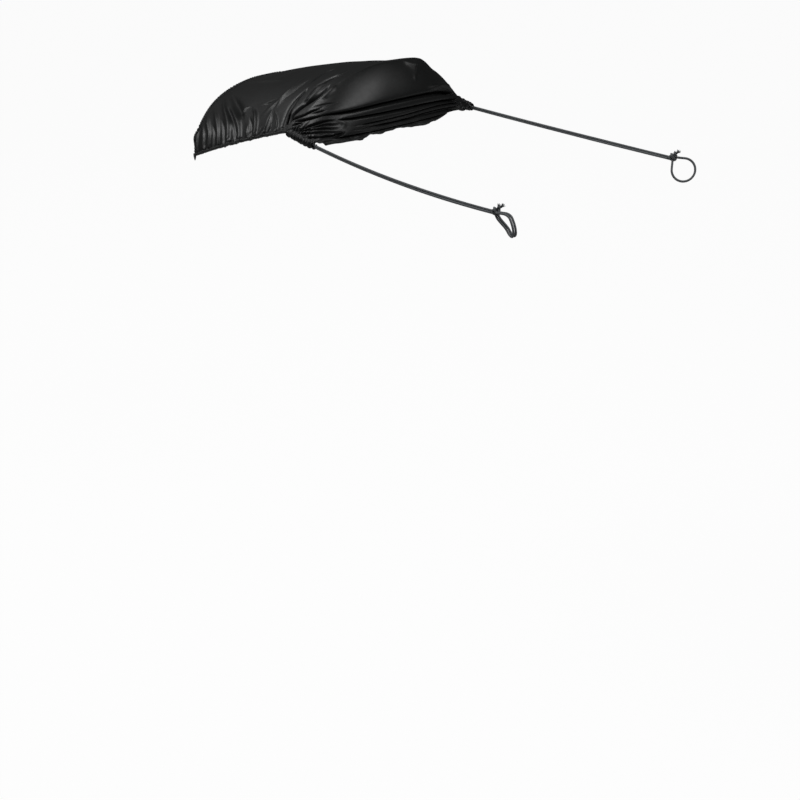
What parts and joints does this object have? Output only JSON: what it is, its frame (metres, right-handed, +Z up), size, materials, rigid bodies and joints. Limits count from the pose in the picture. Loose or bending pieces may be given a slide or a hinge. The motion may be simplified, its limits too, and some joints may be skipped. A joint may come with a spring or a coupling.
{
  "type": "pram sun shade",
  "caption": "Pram sun shade: an elasticated woven cap that grips a hood, a gathered sail that slides on doubled elastic cords, and knotted loops for the handle.",
  "frame": {"origin": "top middle of the hood's front rim, on the inside of the cap's cloth", "axes": "+X from the hood towards the handle, +Y from the near side to the far side, +Z up"},
  "size_m": [0.9262, 0.4045, 0.2263],
  "materials": {
    "woven_polyester": "plain woven polyester, lightly proofed, soft sheen",
    "hem_binding": "turned and stitched hem, matte",
    "flat_elastic": "covered elastic",
    "braided_elastic_cord": "round elastic cord in a braided polyester sleeve, matte"
  },
  "bodies": {
    "cover": {"cap_panel": "woven_polyester", "sail_panel": "woven_polyester", "rear_hem": "hem_binding", "rear_elastic": "flat_elastic", "near_side_hem": "hem_binding", "near_side_elastic": "flat_elastic", "near_rear_tail": "hem_binding", "near_cord_anchor": "hem_binding", "near_cord_upper": "braided_elastic_cord", "near_cord_lower": "braided_elastic_cord", "far_side_hem": "hem_binding", "far_side_elastic": "flat_elastic", "far_rear_tail": "hem_binding", "far_cord_anchor": "hem_binding", "far_cord_upper": "braided_elastic_cord", "far_cord_lower": "braided_elastic_cord"},
    "sail_front": {"front_hem": "hem_binding", "near_sail_sleeve": "woven_polyester", "far_sail_sleeve": "woven_polyester"},
    "near_cord_tip": {"near_loop_inner": "braided_elastic_cord", "near_loop_outer": "braided_elastic_cord", "near_knot": "braided_elastic_cord", "near_cord_end_upper": "braided_elastic_cord", "near_cord_end_lower": "braided_elastic_cord"},
    "far_cord_tip": {"far_loop_inner": "braided_elastic_cord", "far_loop_outer": "braided_elastic_cord", "far_knot": "braided_elastic_cord", "far_cord_end_upper": "braided_elastic_cord", "far_cord_end_lower": "braided_elastic_cord"}
  },
  "joints": [
    {"name": "sail_slide", "type": "slide", "parent": "cover", "child": "sail_front", "axis": [0.9998, 0, 0.019], "range_m": [0, 0.2], "deforming": ["sail_panel", "near_cord_upper", "near_cord_lower", "far_cord_upper", "far_cord_lower"]},
    {"name": "near_cord_stretch", "type": "slide", "parent": "cover", "child": "near_cord_tip", "axis": [0.9997, 0, 0.0262], "range_m": [0, 0.055], "stiffness_N_per_m": 150, "deforming": ["near_cord_upper", "near_cord_lower"]},
    {"name": "far_cord_stretch", "type": "slide", "parent": "cover", "child": "far_cord_tip", "axis": [0.9983, 0, 0.0576], "range_m": [0, 0.055], "stiffness_N_per_m": 150, "deforming": ["far_cord_upper", "far_cord_lower"]}
  ]
}
